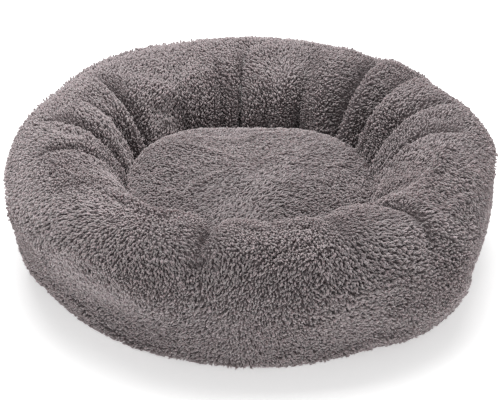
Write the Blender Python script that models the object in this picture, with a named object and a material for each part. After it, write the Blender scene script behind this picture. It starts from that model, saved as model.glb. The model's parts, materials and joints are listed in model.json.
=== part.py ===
"""A round plush bed for a small pet: a stuffed ring on a flat base, with a loose cushion in its well.

Metres, +Z up. The origin is on the floor under the middle of the bed, and +Y points to the back,
where the ring's cover closes with a zip low on its outer wall.
"""

from math import asin, atan2, cos, hypot, pi, radians, sin

import bmesh
import bpy
from mathutils import Matrix, Vector

# The whole bed, over the plush.
OUTER_DIAMETER = 0.500
HEIGHT = 0.138
WELL_DIAMETER = 0.258

# The ring's section. Insets are measured inwards from the widest line of its outer wall.
BELLY_HEIGHT = 0.083
WAIST_HEIGHT = 0.058
CREST_INSET = 0.043
FOOT_INSET = 0.047
FOOT_CLEARANCE = 0.0006

# The fabrics, from the floor up and from the outside in.
BASE_CLOTH = 0.0016
BASE_PADDING = 0.006
BASE_LINING = 0.001
PLUSH = 0.005
LINER = 0.001
LINER_SEAM_OPENING = 0.002
LAYER_GAP = 0.0003

# The bindings over the two seams that join the ring to the base.
BINDING_WIDTH = 0.0022
BINDING_THICKNESS = 0.0020

# The loose cushion.
CUSHION_CLEARANCE = 0.0025
CUSHION_SEAM_HEIGHT = 0.040
CUSHION_CROWN = 0.047
CUSHION_CLOTH = 0.0012
CUSHION_CROWN_POWER = 2.4
CUSHION_CROWN_ROUNDING = 2.6
CUSHION_UNDER_POWER = 7.0
CUSHION_UNDER_ROUNDING = 3.0
CUSHION_BINDING_WIDTH = 0.003

# The zip. Its band stands in an opening of the cover's lower edge, centred on the back.
ZIP_ARC = radians(100)
ZIP_FOOT_HEIGHT = 0.012
ZIP_BAND_HEIGHT = 0.0225
ZIP_SINK = 0.0008
ZIP_END_MARGIN = radians(0.8)
COIL_WIDTH = 0.0025
COIL_THICKNESS = 0.0018
COIL_HALF_SPACE = 0.0007
TAPE_THICKNESS = 0.0007
STOP_LENGTH = 0.0022
RUNNING_GAP = 0.0003

# The zip's slider and its pull tab.
SLIDER_LENGTH = 0.0092
SLIDER_PLATE = 0.0011
SLIDER_FLANGE = 0.0008
BRIDGE_LENGTH = 0.0056
BRIDGE_WIDTH = 0.0020
BRIDGE_BAR = 0.0009
TAB_LENGTH = 0.024
TAB_WIDTH = 0.0056
TAB_THICKNESS = 0.0012
TAB_WINDOW = 0.0042

# The blank care label, sewn into the outer seam beside the zip.
LABEL_WIDTH = 0.022
LABEL_FOOT_HEIGHT = 0.0045
LABEL_HEIGHT = 0.034
LABEL_THICKNESS = 0.0006
LABEL_ANGLE = radians(22)

# How finely round shapes are divided.
TURN_STEPS = 36
ARC_POINTS = 5
CUSHION_POINTS = 9
ZIP_STEPS = 40
SHORT_STEPS = 4
MERGE = 1e-6

# What follows from the sizes above.
R_OUT = OUTER_DIAMETER / 2
R_WELL = WELL_DIAMETER / 2
R_CREST = R_OUT - CREST_INSET
R_FOOT = R_OUT - FOOT_INSET
PADDING_BOTTOM = BASE_CLOTH + LAYER_GAP
LINING_BOTTOM = PADDING_BOTTOM + BASE_PADDING + LAYER_GAP
BASE_TOP = LINING_BOTTOM + BASE_LINING
INNER_BINDING_TOP = BASE_TOP + LAYER_GAP + BINDING_THICKNESS
CUSHION_RADIUS = R_WELL - CUSHION_CLEARANCE
CUSHION_BOTTOM = BASE_TOP + LAYER_GAP
CUSHION_SEAM_Z = CUSHION_BOTTOM + CUSHION_SEAM_HEIGHT
OUTER_BINDING_R = R_FOOT + LAYER_GAP + BINDING_WIDTH
ZIP_START = pi / 2 - ZIP_ARC / 2
ZIP_END = pi / 2 + ZIP_ARC / 2


def clear_scene():
    for found in list(bpy.data.objects):
        bpy.data.objects.remove(found, do_unlink=True)


def finish(name, colour, roughness, metallic=0.0):
    """A Principled material of one colour."""
    made = bpy.data.materials.new(name)
    made.use_nodes = True
    shader = made.node_tree.nodes["Principled BSDF"]
    shader.inputs["Base Color"].default_value = (*colour, 1.0)
    shader.inputs["Roughness"].default_value = roughness
    shader.inputs["Metallic"].default_value = metallic
    made.diffuse_color = (*colour, 1.0)
    return made


def finishes():
    return {
        "plush": finish("plush", (0.205, 0.175, 0.185), 0.95),
        "cushion_plush": finish("cushion_plush", (0.225, 0.195, 0.205), 0.95),
        "base_cloth": finish("base_cloth", (0.035, 0.034, 0.037), 0.85),
        "wadding": finish("wadding", (0.72, 0.71, 0.69), 1.0),
        "lining": finish("lining", (0.10, 0.095, 0.10), 0.9),
        "nonwoven": finish("nonwoven", (0.80, 0.80, 0.79), 0.9),
        "binding": finish("binding", (0.06, 0.055, 0.06), 0.8),
        "zip_tape": finish("zip_tape", (0.055, 0.052, 0.056), 0.8),
        "zip_coil": finish("zip_coil", (0.045, 0.043, 0.046), 0.4),
        "zip_metal": finish("zip_metal", (0.20, 0.20, 0.21), 0.35, 1.0),
        "label": finish("label", (0.82, 0.82, 0.80), 0.7),
    }


def into_scene(name, mesh_builder, material):
    """Puts a finished bmesh into the scene as one object with one material."""
    bmesh.ops.recalc_face_normals(mesh_builder, faces=mesh_builder.faces)
    mesh = bpy.data.meshes.new(name)
    mesh_builder.to_mesh(mesh)
    mesh_builder.free()
    mesh.materials.append(material)
    mesh.shade_smooth()
    mesh.set_sharp_from_angle(angle=radians(40))
    made = bpy.data.objects.new(name, mesh)
    bpy.context.scene.collection.objects.link(made)
    return made


def turned(outline, closed, start=0.0, sweep=2 * pi, steps=TURN_STEPS):
    """Turns an outline of (radius, height) points about the bed's axis.

    A closed outline gives a ring, and an open one that starts and ends on the axis gives a disc.
    A part turn gets a flat cap at each end.
    """
    work = bmesh.new()
    points = [work.verts.new((r * cos(start), r * sin(start), z)) for r, z in outline]
    pairs = list(zip(points, points[1:], strict=False))
    if closed:
        pairs.append((points[-1], points[0]))
    edges = [work.edges.new(pair) for pair in pairs]
    bmesh.ops.spin(
        work,
        geom=points + edges,
        cent=(0, 0, 0),
        axis=(0, 0, 1),
        angle=sweep,
        steps=steps,
        use_duplicate=False,
    )
    bmesh.ops.remove_doubles(work, verts=work.verts, dist=MERGE)
    rims = [edge for edge in work.edges if edge.is_boundary]
    if rims:
        bmesh.ops.holes_fill(work, edges=rims, sides=0)
    return work


def prism(outline, place, low, high):
    """Extrudes an outline from low to high; place turns (u, v, along) into a point."""
    work = bmesh.new()
    face = work.faces.new([work.verts.new(place(u, v, low)) for u, v in outline])
    made = bmesh.ops.extrude_face_region(work, geom=[face], use_keep_orig=True)
    shift = place(0, 0, high) - place(0, 0, low)
    moved = [item for item in made["geom"] if isinstance(item, bmesh.types.BMVert)]
    bmesh.ops.translate(work, verts=moved, vec=shift)
    return work


def guide(name, mesh_builder):
    """A cutter or a piece to be joined, which is not part of the bed itself."""
    bmesh.ops.recalc_face_normals(mesh_builder, faces=mesh_builder.faces)
    mesh = bpy.data.meshes.new(name)
    mesh_builder.to_mesh(mesh)
    mesh_builder.free()
    made = bpy.data.objects.new(name, mesh)
    bpy.context.scene.collection.objects.link(made)
    made.hide_render = True
    made.display_type = "WIRE"
    return made


def combine(target, other, operation):
    step = target.modifiers.new(other.name, "BOOLEAN")
    step.operation = operation
    step.solver = "EXACT"
    step.object = other


def quarter(centre, across, up, first, last, count=ARC_POINTS):
    """Points on an ellipse about centre, from angle first to angle last."""
    angles = [first + (last - first) * i / (count - 1) for i in range(count)]
    return [(centre[0] + across * cos(a), centre[1] + up * sin(a)) for a in angles]


def foot_angle(floor):
    """The angle of the foot's outer curve at which it comes down to the given height."""
    return -asin((BELLY_HEIGHT - floor) / (BELLY_HEIGHT - FOOT_CLEARANCE))


def down_to(floor, points):
    """A falling outline, ended where it meets the given height."""
    kept = [point for point in points if point[1] > floor]
    if len(kept) == len(points):
        return points
    (r0, z0), (r1, z1) = kept[-1], points[len(kept)]
    share = (z0 - floor) / (z0 - z1)
    return [*kept, (r0 + (r1 - r0) * share, floor)]


def ring_curve(inset, floor_inside, floor_outside):
    """The ring's section, inset evenly: up the well's wall, over the crest, down to the foot."""
    across_in = R_CREST - R_WELL - inset
    across_out = CREST_INSET - inset
    across_foot = FOOT_INSET - inset
    up_in = HEIGHT - WAIST_HEIGHT - inset
    up_out = HEIGHT - BELLY_HEIGHT - inset
    down_foot = BELLY_HEIGHT - FOOT_CLEARANCE - inset
    wall = [(R_WELL + inset, floor_inside)]
    inner = quarter((R_CREST, WAIST_HEIGHT), across_in, up_in, pi, pi / 2)
    outer = quarter((R_CREST, BELLY_HEIGHT), across_out, up_out, pi / 2, 0)
    foot = quarter((R_FOOT, BELLY_HEIGHT), across_foot, down_foot, 0, -pi / 2)
    return wall + inner + outer[1:] + down_to(floor_outside, foot)[1:]


def cushion_crown(inset):
    """The cushion's upper outline, from the axis out to the seam."""
    radius = CUSHION_RADIUS - inset
    rise = CUSHION_CROWN - inset
    outline = []
    for i in range(CUSHION_POINTS):
        share = sin(pi / 2 * i / (CUSHION_POINTS - 1))
        up = (1 - share**CUSHION_CROWN_POWER) ** (1 / CUSHION_CROWN_ROUNDING)
        outline.append((radius * share, CUSHION_SEAM_Z + rise * up))
    return outline


def cushion_underside(inset):
    """The cushion's lower outline, from the seam in to the axis."""
    radius = CUSHION_RADIUS - inset
    drop = CUSHION_SEAM_HEIGHT - inset
    outline = []
    for i in range(CUSHION_POINTS):
        share = sin(pi / 2 * (1 - i / (CUSHION_POINTS - 1)))
        down = (1 - share**CUSHION_UNDER_POWER) ** (1 / CUSHION_UNDER_ROUNDING)
        outline.append((radius * share, CUSHION_SEAM_Z - drop * down))
    return outline


def disc(name, radius, bottom, thickness, material):
    """A flat round layer of the base."""
    top = bottom + thickness
    outline = [(0, top), (radius, top), (radius, bottom), (0, bottom)]
    return into_scene(name, turned(outline, closed=False), material)


def add_base(looks):
    disc("base_cloth", R_FOOT, 0.0, BASE_CLOTH, looks["base_cloth"])
    disc("base_padding", R_FOOT, PADDING_BOTTOM, BASE_PADDING, looks["wadding"])
    disc("base_lining", R_FOOT, LINING_BOTTOM, BASE_LINING, looks["lining"])


def zip_frame():
    """The zip band's centre (radius, height), its lean and its half width."""
    angles = [foot_angle(ZIP_FOOT_HEIGHT), foot_angle(ZIP_FOOT_HEIGHT + ZIP_BAND_HEIGHT)]
    down = BELLY_HEIGHT - FOOT_CLEARANCE
    ends = [(R_FOOT + FOOT_INSET * cos(a), BELLY_HEIGHT + down * sin(a)) for a in angles]
    rise = ends[1][1] - ends[0][1]
    run = ends[1][0] - ends[0][0]
    lean = atan2(run, rise)
    middle = ((ends[0][0] + ends[1][0]) / 2, (ends[0][1] + ends[1][1]) / 2)
    centre = (middle[0] - ZIP_SINK * cos(lean), middle[1] + ZIP_SINK * sin(lean))
    return centre, lean, hypot(rise, run) / 2


def on_band(s, n):
    """The (radius, height) of a point s up the zip band and n outwards from it."""
    centre, lean, _ = zip_frame()
    return (centre[0] + s * sin(lean) + n * cos(lean), centre[1] + s * cos(lean) - n * sin(lean))


def on_slider(angle):
    """A function that places (up the band, outwards, along the zip) at an angle round the bed."""
    centre, lean, _ = zip_frame()
    radial = Vector((cos(angle), sin(angle), 0))
    along = Vector((-sin(angle), cos(angle), 0))
    up = Vector((0, 0, 1))
    slant = radial * sin(lean) + up * cos(lean)
    outwards = radial * cos(lean) - up * sin(lean)
    origin = radial * centre[0] + up * centre[1]
    return lambda s, n, t: origin + slant * s + outwards * n + along * t


def add_ring(looks):
    lip = ring_curve(0, INNER_BINDING_TOP + LAYER_GAP, FOOT_CLEARANCE)
    lip[-1] = (OUTER_BINDING_R + LAYER_GAP, FOOT_CLEARANCE)
    inside = ring_curve(PLUSH, INNER_BINDING_TOP + LAYER_GAP, FOOT_CLEARANCE + PLUSH)
    inside[-1] = (OUTER_BINDING_R + LAYER_GAP, FOOT_CLEARANCE + PLUSH)
    outline = lip + inside[::-1]
    cover = into_scene("ring_cover", turned(outline, closed=True), looks["plush"])
    combine(cover, zip_opening(), "DIFFERENCE")

    floor = INNER_BINDING_TOP + LAYER_GAP
    depth = PLUSH + LAYER_GAP
    outside = ring_curve(depth, floor, floor)
    inside = ring_curve(depth + LINER, floor + LINER, floor + LINER)
    seam = (outside[0][0] + outside[-1][0]) / 2
    half = LINER_SEAM_OPENING / 2
    outside = [(seam - half, floor), *outside, (seam + half, floor)]
    inside = [(seam - half, floor + LINER), *inside, (seam + half, floor + LINER)]
    bag = turned(outside + inside[::-1], closed=True)
    into_scene("ring_liner", bag, looks["nonwoven"])

    depth += LINER + LAYER_GAP
    floor += LINER + LAYER_GAP
    filling = turned(ring_curve(depth, floor, floor), closed=True)
    into_scene("ring_filling", filling, looks["wadding"])


def zip_opening():
    """The cutter for the window in the cover's lower edge that the zip fills."""
    _, _, half = zip_frame()
    reach = 2 * PLUSH
    low = -half - LAYER_GAP
    high = half + LAYER_GAP
    corners = [(low, -reach), (low, reach), (high, reach), (high, -reach)]
    outline = [on_band(s, n) for s, n in corners]
    start = ZIP_START - ZIP_END_MARGIN
    sweep = ZIP_ARC + 2 * ZIP_END_MARGIN
    return guide("zip_opening", turned(outline, True, start, sweep, ZIP_STEPS))


def add_bindings(looks):
    low = BASE_TOP + LAYER_GAP
    inner = R_WELL + LAYER_GAP
    outline = [
        (inner, low),
        (inner, low + BINDING_THICKNESS),
        (inner + BINDING_WIDTH, low + BINDING_THICKNESS),
        (inner + BINDING_WIDTH, low),
    ]
    into_scene("inner_seam_binding", turned(outline, closed=True), looks["binding"])

    low = FOOT_CLEARANCE
    inner = R_FOOT + LAYER_GAP
    outline = [
        (inner, low),
        (inner, low + BINDING_THICKNESS),
        (OUTER_BINDING_R, low + BINDING_THICKNESS),
        (OUTER_BINDING_R, low),
    ]
    into_scene("outer_seam_binding", turned(outline, closed=True), looks["binding"])


def band_strip(name, low, high, thickness, material, start=ZIP_START, end=ZIP_END):
    """A strip of the zip between two heights on its band."""
    half = thickness / 2
    corners = [(low, -half), (low, half), (high, half), (high, -half)]
    outline = [on_band(s, n) for s, n in corners]
    steps = max(SHORT_STEPS, round(ZIP_STEPS * (end - start) / ZIP_ARC))
    return into_scene(name, turned(outline, True, start, end - start, steps), material)


def add_zip(looks):
    centre, _, half = zip_frame()
    coil_in = COIL_HALF_SPACE
    coil_out = COIL_HALF_SPACE + COIL_WIDTH
    tape_in = coil_out + RUNNING_GAP
    stop_sweep = STOP_LENGTH / centre[0]
    coil_start = ZIP_START + stop_sweep + LAYER_GAP / centre[0]
    coil_end = ZIP_END - stop_sweep - LAYER_GAP / centre[0]
    for side, way in (("upper", 1), ("lower", -1)):
        tape = sorted((way * tape_in, way * half))
        coil = sorted((way * coil_in, way * coil_out))
        band_strip(f"zip_tape_{side}", *tape, TAPE_THICKNESS, looks["zip_tape"])
        band_strip(
            f"zip_coil_{side}", *coil, COIL_THICKNESS, looks["zip_coil"], coil_start, coil_end
        )
        band_strip(
            f"zip_top_stop_{side}",
            *coil,
            COIL_THICKNESS,
            looks["zip_metal"],
            ZIP_START,
            ZIP_START + stop_sweep,
        )
    band_strip(
        "zip_end_stop",
        -coil_out,
        coil_out,
        COIL_THICKNESS,
        looks["zip_metal"],
        ZIP_END - stop_sweep,
        ZIP_END,
    )


def slider_angle():
    """Where the slider stands when the zip is shut, just clear of the top stops."""
    centre, _, _ = zip_frame()
    return ZIP_START + (STOP_LENGTH + RUNNING_GAP + SLIDER_LENGTH / 2) / centre[0]


def add_slider(looks):
    """Two plates joined by a thin web between the coils, with a bridge that holds the pull tab."""
    place = on_slider(slider_angle())
    web = COIL_HALF_SPACE - RUNNING_GAP
    flange_in = COIL_HALF_SPACE + COIL_WIDTH + RUNNING_GAP
    side = flange_in + SLIDER_FLANGE
    plate_in = COIL_THICKNESS / 2 + RUNNING_GAP
    plate_out = plate_in + SLIDER_PLATE
    slot = TAPE_THICKNESS / 2 + RUNNING_GAP
    upper_right = [
        (web, plate_in),
        (flange_in, plate_in),
        (flange_in, slot),
        (side, slot),
        (side, plate_out),
    ]
    upper_left = [(-s, n) for s, n in reversed(upper_right)]
    lower_left = [(s, -n) for s, n in reversed(upper_left)]
    lower_right = [(s, -n) for s, n in reversed(upper_right)]
    outline = upper_right + upper_left + lower_left + lower_right
    half = SLIDER_LENGTH / 2
    body = into_scene("zip_slider_body", prism(outline, place, -half, half), looks["zip_metal"])

    reach = BRIDGE_LENGTH / 2
    window = reach - BRIDGE_BAR
    low = plate_out - SLIDER_PLATE / 2
    under = plate_out + 2 * RUNNING_GAP + hypot(TAB_THICKNESS, TAB_THICKNESS)
    top = under + BRIDGE_BAR
    arch = [
        (-reach, low),
        (-reach, top),
        (reach, top),
        (reach, low),
        (window, low),
        (window, under),
        (-window, under),
        (-window, low),
    ]
    half = BRIDGE_WIDTH / 2
    bridge = prism(arch, lambda t, n, s: place(s, n, t), -half, half)
    combine(body, guide("slider_bridge", bridge), "UNION")
    return place, (plate_out + under) / 2


def add_pull_tab(looks, place, pivot):
    """A flat tab with a window, whose end bar turns under the slider's bridge."""
    bar = TAB_THICKNESS / 2
    half = TAB_WIDTH / 2
    corner = half / 2
    outline = [
        (-bar, -half),
        (TAB_LENGTH - corner, -half),
        (TAB_LENGTH, -half + corner),
        (TAB_LENGTH, half - corner),
        (TAB_LENGTH - corner, half),
        (-bar, half),
    ]
    plate = prism(outline, lambda t, s, n: place(s, pivot + n, t), -bar, bar)
    tab = into_scene("zip_pull_tab", plate, looks["zip_metal"])
    clear = BRIDGE_WIDTH / 2 + RUNNING_GAP
    window = [(bar, -clear), (TAB_WINDOW, -clear), (TAB_WINDOW, clear), (bar, clear)]
    cutter = prism(window, lambda t, s, n: place(s, pivot + n, t), -2 * bar, 2 * bar)
    combine(tab, guide("tab_window", cutter), "DIFFERENCE")


def set_pivots(place, pivot):
    """Moves the slider's origin to the bed's axis and the tab's to its bar, where each one turns."""
    tab = bpy.data.objects["zip_pull_tab"]
    spot = place(0, pivot, 0)
    tab.data.transform(Matrix.Translation(-spot))
    tab.location = spot
    tab.parent = bpy.data.objects["zip_slider_body"]
    window = bpy.data.objects["tab_window"]
    window.data.transform(Matrix.Translation(-spot))
    window.location = spot
    window.parent = tab.parent


def add_label(looks):
    """A narrow cloth label that stands against the outer wall, with its foot in the seam."""
    low = 2 * LAYER_GAP
    outline = []
    for lift in (low, low + LABEL_THICKNESS):
        first = foot_angle(LABEL_FOOT_HEIGHT)
        last = foot_angle(LABEL_FOOT_HEIGHT + LABEL_HEIGHT)
        down = BELLY_HEIGHT - FOOT_CLEARANCE + lift
        side = quarter((R_FOOT, BELLY_HEIGHT), FOOT_INSET + lift, down, first, last)
        outline += side if lift == low else side[::-1]
    sweep = LABEL_WIDTH / R_OUT
    start = LABEL_ANGLE - sweep / 2
    label = turned(outline, True, start, sweep, SHORT_STEPS)
    into_scene("care_label", label, looks["label"])


def add_cushion(looks):
    """The loose cushion: a plush top and a cloth underside, sewn round a fibre filling."""
    seam_half = CUSHION_CLOTH / 2 + LAYER_GAP
    crown = cushion_crown(0)
    crown[-1] = (CUSHION_RADIUS, CUSHION_SEAM_Z + seam_half)
    inside = cushion_crown(PLUSH)
    inside[-1] = (CUSHION_RADIUS - PLUSH, CUSHION_SEAM_Z + seam_half)
    top = turned(crown + inside[::-1], closed=False)
    into_scene("cushion_top_cover", top, looks["cushion_plush"])

    under = cushion_underside(0)
    under[0] = (CUSHION_RADIUS, CUSHION_SEAM_Z - seam_half)
    inside = cushion_underside(CUSHION_CLOTH)
    inside[0] = (CUSHION_RADIUS - CUSHION_CLOTH, CUSHION_SEAM_Z - seam_half)
    bottom = turned(inside[::-1] + under, closed=False)
    into_scene("cushion_base_cover", bottom, looks["lining"])

    half = CUSHION_CLOTH / 2
    outer = CUSHION_RADIUS
    inner = outer - CUSHION_BINDING_WIDTH
    low, high = CUSHION_SEAM_Z - half, CUSHION_SEAM_Z + half
    outline = [(inner, low), (inner, high), (outer, high), (outer, low)]
    into_scene("cushion_seam_binding", turned(outline, closed=True), looks["binding"])

    depth = PLUSH + LAYER_GAP
    filling = cushion_crown(depth) + cushion_underside(depth)[1:]
    into_scene("cushion_filling", turned(filling, closed=False), looks["wadding"])


def main():
    clear_scene()
    looks = finishes()
    add_base(looks)
    add_ring(looks)
    add_bindings(looks)
    add_zip(looks)
    place, pivot = add_slider(looks)
    add_pull_tab(looks, place, pivot)
    set_pivots(place, pivot)
    add_label(looks)
    add_cushion(looks)


main()
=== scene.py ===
"""The looks of a round fleece bed for a small pet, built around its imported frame.

Everything is in metres, in the frame's own axes: +Z up, +Y to the back. Round the bed an angle
counts from +X towards +Y, and along the ring's section a place counts from 0, at the foot of the
well, over the crest at about 0.5, to 1, at the outer foot.
"""

import json

import bpy
import numpy as np
from bpy.props import FloatProperty, FloatVectorProperty, IntProperty, PointerProperty
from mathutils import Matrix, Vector


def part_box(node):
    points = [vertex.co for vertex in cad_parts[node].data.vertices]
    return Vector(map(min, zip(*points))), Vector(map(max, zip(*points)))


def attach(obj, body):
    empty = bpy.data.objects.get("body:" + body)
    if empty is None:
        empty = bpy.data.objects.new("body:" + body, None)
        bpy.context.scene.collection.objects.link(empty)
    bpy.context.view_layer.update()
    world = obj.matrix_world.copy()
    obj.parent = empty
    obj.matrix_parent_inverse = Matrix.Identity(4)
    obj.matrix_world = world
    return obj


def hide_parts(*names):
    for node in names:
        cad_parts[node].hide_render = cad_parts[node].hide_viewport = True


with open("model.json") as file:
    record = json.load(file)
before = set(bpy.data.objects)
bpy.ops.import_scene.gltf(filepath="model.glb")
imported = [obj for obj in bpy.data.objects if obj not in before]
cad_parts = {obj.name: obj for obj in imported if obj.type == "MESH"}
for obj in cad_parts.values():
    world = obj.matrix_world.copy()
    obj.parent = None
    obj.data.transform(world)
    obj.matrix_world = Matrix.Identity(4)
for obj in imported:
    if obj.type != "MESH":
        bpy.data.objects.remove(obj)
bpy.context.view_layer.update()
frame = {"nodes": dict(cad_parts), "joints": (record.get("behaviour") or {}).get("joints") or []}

bl_info = {
    "name": "Fleece Pet Bed",
    "version": (1, 0, 0),
    "blender": (4, 5, 0),
    "location": "3D View > Sidebar > Pet Bed",
    "description": "Makes a round stuffed bed with curled fleece, its loose cushion and its zip",
    "category": "Add Mesh",
}

TURN = 2 * np.pi
MM = 0.001


def node_box(name):
    """A frame node's lowest and highest corners, as arrays."""
    low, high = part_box(name)
    return np.array(low), np.array(high)


# The bed's main sizes, from the frame's nodes.
RING = node_box("ring_cover")
R_OUT = float(RING[1][0])
HEIGHT = float(RING[1][2])
R_FOOT = float(node_box("base_cloth")[1][0])
R_FOOT_SEAM = float(node_box("outer_seam_binding")[1][0])
SOLE = float(node_box("inner_seam_binding")[1][2]) + 0.9 * MM
CUSHION = node_box("cushion_top_cover")
UNDER = node_box("cushion_base_cover")
R_CUSHION = float(CUSHION[1][0])
CROWN = float(CUSHION[1][2])
SEAM_TOP = float(CUSHION[0][2])
SEAM_FOOT = float(UNDER[1][2])
CUSHION_FLOOR = float(UNDER[0][2])

# Curls lie this far out from the ring's cloth, so the cloth lies this far inside the frame.
PILE_DEPTH = 4.0 * MM

# What the cloth under the curls takes from the fleece: the dark root colour and a lower tone, which are
# painted shade under the curls. Also the colour of all loose fibre.
SHADED_SKIN_LOOK = {"pile": 0.05, "tone_and_shade": 0.9, "warmth": 0.5}
FIBRE_COLOUR = (0.72, 0.71, 0.69)


# ---- settings


def metres(name, description, default):
    """A setting that is a length."""
    return FloatProperty(name=name, description=description, default=default, unit="LENGTH")


def colour_of(name, description, default):
    """A setting for a colour, in linear light."""
    return FloatVectorProperty(
        name=name, description=description, default=default, subtype="COLOR", size=3
    )


class PetBedRing(bpy.types.PropertyGroup):
    """The stuffed ring."""

    well_gap: metres(
        "Gap round the cushion",
        "Between the cushion's edge and the tips of the pile on the well's wall",
        2.5 * MM,
    )
    belly: metres("Belly height", "Height of the widest line of the outer wall", 83 * MM)
    waist: metres("Waist height", "Height above which the well's wall leans outwards", 58 * MM)
    crest: metres("Crest inset", "From the widest line in to the crest", 43 * MM)
    lumps: metres("Lumps", "How far the stuffing stands unevenly under the cloth", 1.2 * MM)
    pleats: metres(
        "Pleats",
        "Depth of the small pleats where the cloth is gathered into the well's seam",
        1.5 * MM,
    )
    pressure: FloatProperty(
        name="Stuffing pressure",
        description="How hard the stuffing presses on the cloth when it settles",
        default=4.0,
    )


class PetBedFleece(bpy.types.PropertyGroup):
    """The curled pile."""

    spacing: metres("Spacing", "Distance from one curl to the next", 2.25 * MM)
    length: metres("Length", "Length of a curl along the cloth", 3.2 * MM)
    width: metres("Width", "Width of a curl at its middle", 1.8 * MM)
    height: metres("Height", "Height of a curl above the cloth", 4.0 * MM)
    seed: IntProperty(name="Seed", description="Start of the random draws", default=7)
    warm_colour: colour_of(
        "Warm tip colour", "Colour of the tips of the pinker curls", (0.46, 0.385, 0.397)
    )
    cool_colour: colour_of(
        "Cool tip colour", "Colour of the tips of the greyer curls", (0.415, 0.377, 0.371)
    )
    # Painted shade: the dark colour down between the curls stands for the shade there.
    root_shade_colour: colour_of("Root colour", "Colour down between the curls", (0.15, 0.123, 0.126))


class PetBedCushion(bpy.types.PropertyGroup):
    """The loose cushion."""

    crown_power: FloatProperty(
        name="Crown fullness",
        description="How far out the top stays high before it drops to the seam",
        default=2.6,
    )
    slope: metres("Slope", "How far the top falls towards the front", 30 * MM)
    corners: metres(
        "Corners", "How far the top spreads into the well between its back and its sides", 8 * MM
    )
    pile_share: FloatProperty(
        name="Pile size",
        description="Size of the cushion's curls against the ring's",
        default=0.86,
        subtype="FACTOR",
    )
    puckers: IntProperty(
        name="Puckers", description="Small gathers round the seam", default=34, min=8, max=80
    )


class PetBedTrim(bpy.types.PropertyGroup):
    """The base, the bindings, the zip and the label."""

    base_colour: colour_of("Base cloth", "Colour of the cloth under the bed", (0.035, 0.034, 0.037))
    lining_colour: colour_of(
        "Lining", "Colour of the cloth under the cushion", (0.105, 0.095, 0.099)
    )
    tooth_pitch: metres("Tooth pitch", "Distance from one tooth of the zip to the next", 1.5 * MM)


class PetBedStage(bpy.types.PropertyGroup):
    """The floor, the light and the camera."""

    distance: metres("Camera distance", "From the camera to the middle of the bed", 1.7)
    elevation: FloatProperty(
        name="Camera elevation",
        description="How far the camera looks down",
        default=np.radians(30.9),
        subtype="ANGLE",
    )
    aim: metres("Aim height", "Height of the point that the camera looks at", 53 * MM)
    view_width: metres("View width", "Width of the picture at the middle of the bed", 0.511)
    floor_colour: colour_of("Floor colour", "Colour of the plain floor", (0.86, 0.86, 0.86))
    floor_glow: FloatProperty(
        name="Floor glow", description="Light that comes up through the floor", default=0.5
    )
    key_power: FloatProperty(
        name="Key light", description="Power of the light above and behind", default=35.0
    )
    fill_strength: FloatProperty(
        name="Fill light", description="Strength of the light from all round", default=0.46
    )


# ---- meshes


def new_mesh(name, points, corners, counts, uv=None, values=None):
    """One smooth mesh from whole arrays.

    points are the vertices, corners lists each face's vertices one after another, and counts says
    how many corners each face has. uv has a place for each corner, and values is a dictionary of
    numbers for each vertex.
    """
    mesh = bpy.data.meshes.new(name)
    starts = np.concatenate([[0], np.cumsum(counts)[:-1]])
    mesh.vertices.add(len(points))
    mesh.vertices.foreach_set("co", np.ascontiguousarray(points, np.float32).ravel())
    mesh.loops.add(len(corners))
    mesh.loops.foreach_set("vertex_index", np.ascontiguousarray(corners, np.int32))
    mesh.polygons.add(len(counts))
    mesh.polygons.foreach_set("loop_start", starts.astype(np.int32))
    mesh.polygons.foreach_set("use_smooth", np.ones(len(counts), bool))
    mesh.update(calc_edges=True)
    if uv is not None:
        layer = mesh.uv_layers.new(name="OFBake", do_init=False)
        layer.uv.foreach_set("vector", np.ascontiguousarray(uv, np.float32).ravel())
    for label, numbers in (values or {}).items():
        layer = mesh.attributes.new(label, "FLOAT", "POINT")
        numbers = np.broadcast_to(numbers, len(points))
        layer.data.foreach_set("value", np.ascontiguousarray(numbers, np.float32))
    return mesh


def add_object(name, data):
    """A new object in the scene."""
    made = bpy.data.objects.new(name, data)
    bpy.context.scene.collection.objects.link(made)
    return made


def place(name, mesh, material, body, node=None):
    """Puts a mesh into the scene as one piece that rides on a body of the frame.

    It stands for a frame node where one is named, and that node is hidden.
    """
    piece = add_object(name, mesh)
    mesh.materials.append(material)
    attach(piece, body)
    if node:
        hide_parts(node)


def dress(nodes, material):
    """Gives a material to frame nodes whose shape stays as it is."""
    for node in nodes:
        slots = frame["nodes"][node].data.materials
        slots.clear()
        slots.append(material)


def grid_faces(rows, columns, close_rows, close_columns):
    """The quads of a grid whose point (i, j) has number i * columns + j."""
    i = np.arange(rows if close_rows else rows - 1)[:, None]
    j = np.arange(columns if close_columns else columns - 1)[None, :]
    i2, j2 = (i + 1) % rows, (j + 1) % columns
    quads = [i * columns + j, i2 * columns + j, i2 * columns + j2, i * columns + j2]
    return np.stack(np.broadcast_arrays(*quads), -1).reshape(-1, 4)


def grid_uv(faces, rows, columns):
    """Where each corner of a grid's quads lies, from 0 to 1 both ways, without a jump at a seam."""
    i, j = np.divmod(faces, columns)
    i = np.where(i.max(1, keepdims=True) - i > rows / 2, i + rows, i)
    j = np.where(j.max(1, keepdims=True) - j > columns / 2, j + columns, j)
    return np.stack([i / rows, j / columns], -1).reshape(-1, 2)


def sheet_mesh(name, grid, values=None):
    """A mesh from a grid of points that closes both ways."""
    rows, columns = grid.shape[:2]
    faces = grid_faces(rows, columns, True, True)
    uv = grid_uv(faces, rows, columns)
    return new_mesh(name, grid.reshape(-1, 3), faces.ravel(), np.full(len(faces), 4), uv, values)


def round_points(radius, turn, height):
    """Points at a radius and an angle round the bed, at a height."""
    sides = np.broadcast_arrays(radius * np.cos(turn), radius * np.sin(turn), height)
    return np.stack(sides, -1)


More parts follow.
